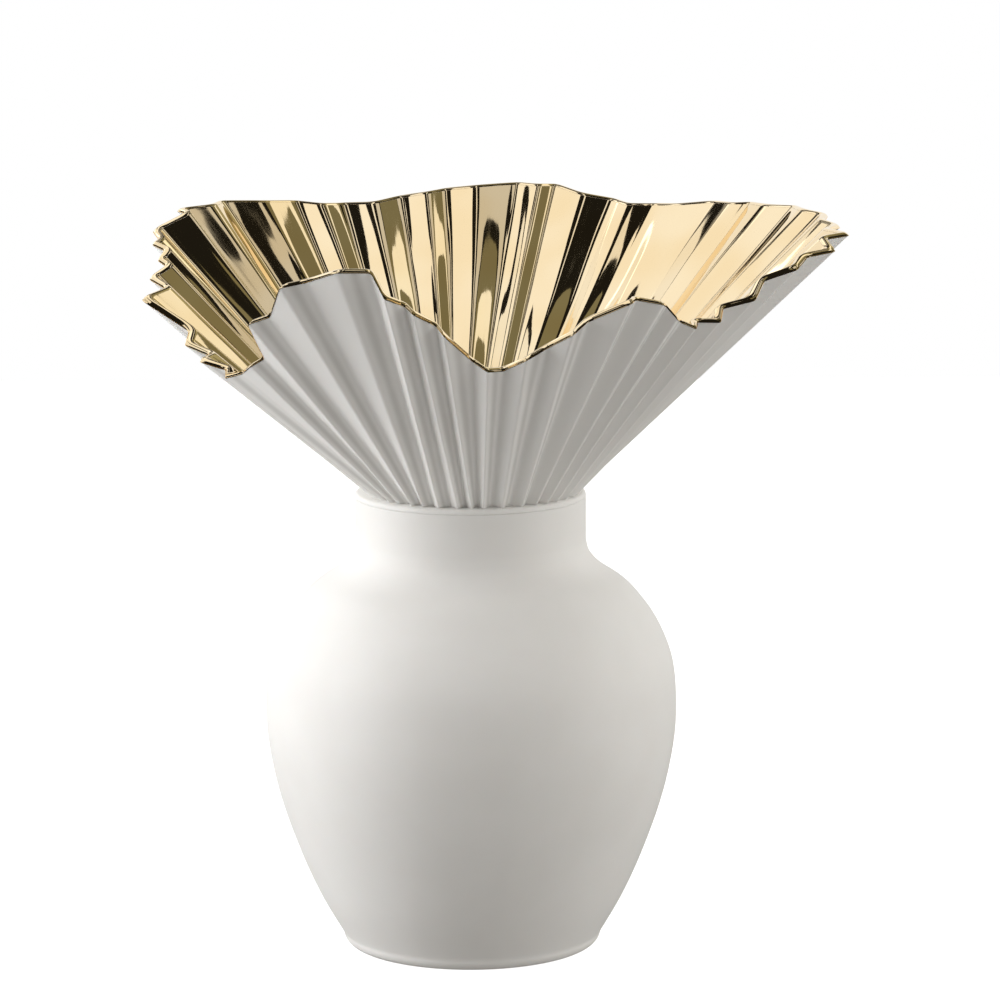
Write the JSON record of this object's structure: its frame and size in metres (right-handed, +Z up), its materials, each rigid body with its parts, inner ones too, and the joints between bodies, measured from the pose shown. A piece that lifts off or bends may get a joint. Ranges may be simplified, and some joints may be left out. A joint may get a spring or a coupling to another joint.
{
  "type": "porcelain vase",
  "caption": "Round-bodied matte porcelain vase with a short neck and a wide pleated, wavy-rimmed collar plated in polished gold inside.",
  "frame": {"origin": "centre of the vase's footprint seen from above, in the plane of the foot ring; the body's axis stands 8.7 mm to the left of it and 5.9 mm in front, because the collar is wider to the right and to the back", "axes": "+Z up along the body's axis, -Y towards the front, where the collar's rim dips lowest, +X to the right"},
  "size_m": [0.275, 0.2544, 0.2876],
  "materials": {
    "biscuit_porcelain": "matte unglazed biscuit porcelain, off-white",
    "clear_glaze": "clear gloss glaze over white porcelain",
    "polished_gold": "mirror-polished pale gold plating"
  },
  "bodies": {
    "root": {"vase_body": "biscuit_porcelain", "collar_ring": "biscuit_porcelain", "pleated_collar": "biscuit_porcelain", "inner_glaze": "clear_glaze", "gold_lining": "polished_gold", "gold_edge": "polished_gold"}
  },
  "joints": []
}
